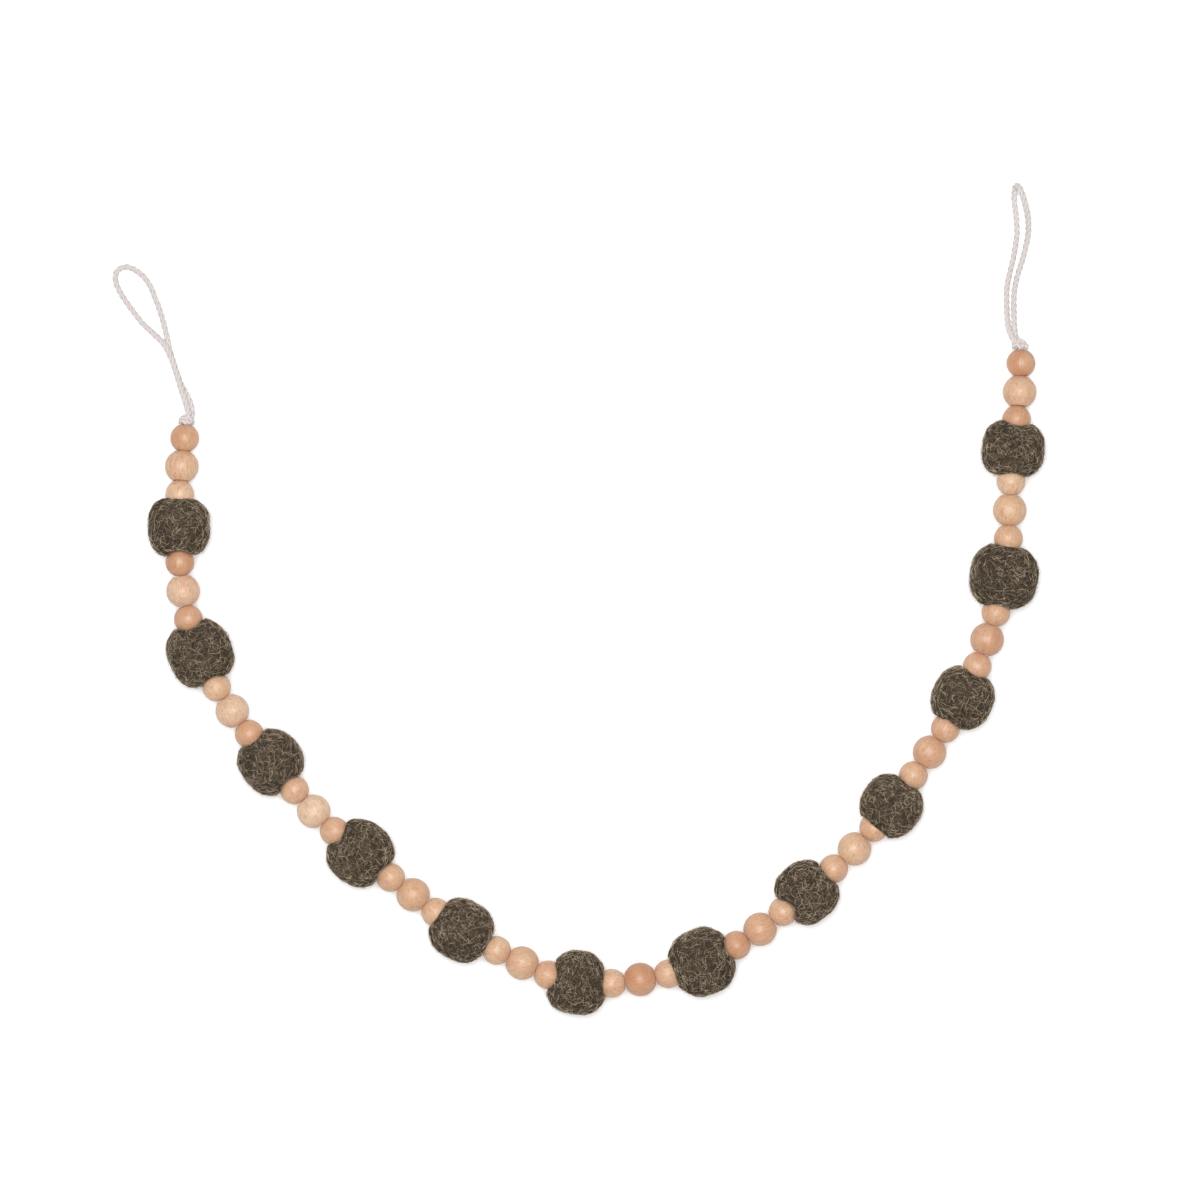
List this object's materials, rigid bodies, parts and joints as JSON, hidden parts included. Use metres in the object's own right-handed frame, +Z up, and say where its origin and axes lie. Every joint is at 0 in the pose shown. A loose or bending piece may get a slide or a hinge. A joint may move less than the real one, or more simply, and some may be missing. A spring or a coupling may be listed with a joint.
{
  "type": "felt ball and wooden bead garland",
  "caption": "Garland of round felt balls and turned wooden beads strung on a twisted cotton cord, with a knot and a hanging loop at each end.",
  "frame": {"origin": "on the surface that the garland lies on, under the middle of the strung part's footprint", "axes": "+Z up, +Y towards the open end of the U and its two hanging loops, +X across the U to the right"},
  "size_m": [0.3875, 0.3451, 0.0259],
  "materials": {
    "felt": "matte, hairy wool felt",
    "wood": "smooth, satin, unstained",
    "cord": "matte twisted cotton"
  },
  "bodies": {
    "root": {"felt_ball_01": "felt", "felt_ball_02": "felt", "felt_ball_03": "felt", "felt_ball_04": "felt", "felt_ball_05": "felt", "felt_ball_06": "felt", "felt_ball_07": "felt", "felt_ball_08": "felt", "felt_ball_09": "felt", "felt_ball_10": "felt", "felt_ball_11": "felt", "felt_ball_12": "felt", "large_bead_01": "wood", "large_bead_02": "wood", "large_bead_03": "wood", "large_bead_04": "wood", "large_bead_05": "wood", "large_bead_06": "wood", "large_bead_07": "wood", "large_bead_08": "wood", "large_bead_09": "wood", "large_bead_10": "wood", "large_bead_11": "wood", "large_bead_12": "wood", "large_bead_13": "wood", "small_bead_01": "wood", "small_bead_02": "wood", "small_bead_03": "wood", "small_bead_04": "wood", "small_bead_05": "wood", "small_bead_06": "wood", "small_bead_07": "wood", "small_bead_08": "wood", "small_bead_09": "wood", "small_bead_10": "wood", "small_bead_11": "wood", "small_bead_12": "wood", "small_bead_13": "wood", "small_bead_14": "wood", "small_bead_15": "wood", "small_bead_16": "wood", "small_bead_17": "wood", "small_bead_18": "wood", "small_bead_19": "wood", "small_bead_20": "wood", "small_bead_21": "wood", "small_bead_22": "wood", "small_bead_23": "wood", "small_bead_24": "wood", "small_bead_25": "wood", "small_bead_26": "wood", "string": "cord", "knot_left": "cord", "knot_right": "cord", "loop_left": "cord", "loop_right": "cord"}
  },
  "joints": []
}
